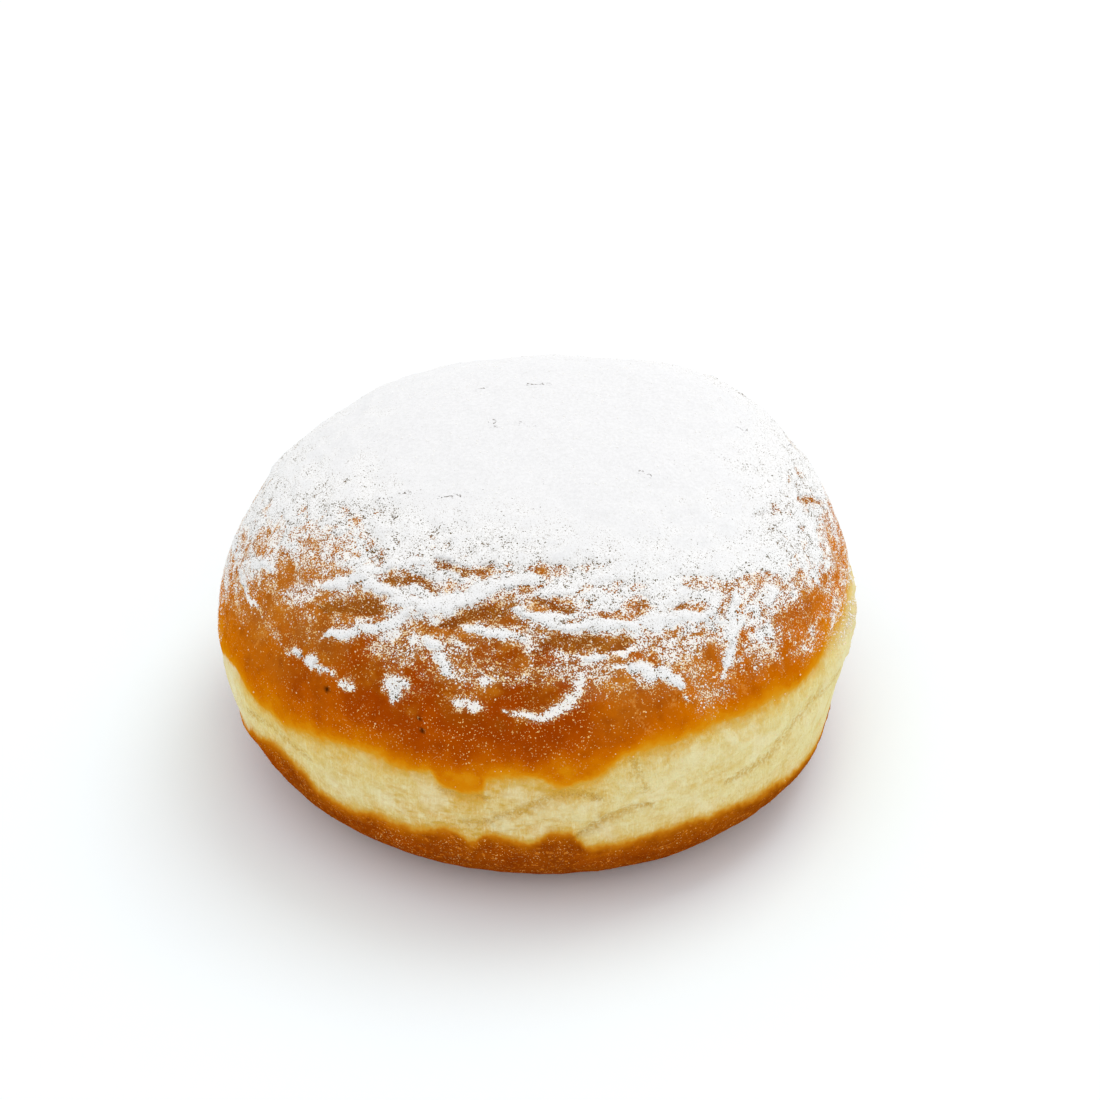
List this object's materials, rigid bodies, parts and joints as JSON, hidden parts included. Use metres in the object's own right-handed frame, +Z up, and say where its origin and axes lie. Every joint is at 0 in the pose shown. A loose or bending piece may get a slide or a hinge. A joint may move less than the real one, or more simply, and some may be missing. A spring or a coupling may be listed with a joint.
{
  "type": "doughnut",
  "caption": "Round yeast doughnut with no hole, fried golden brown with a pale ring round its side, and dusted with icing sugar on top.",
  "frame": {"origin": "on the flat resting patch underneath, below the middle of the doughnut", "axes": "+Z up through the top of the dome, +X to the right and -Y towards the front, where the pale ring dips lowest"},
  "size_m": [0.0918, 0.0904, 0.05],
  "materials": {
    "fried_dough": "satin",
    "icing_sugar": "matte"
  },
  "bodies": {
    "root": {"dough": "fried_dough", "sugar_dusting": "icing_sugar"}
  },
  "joints": []
}
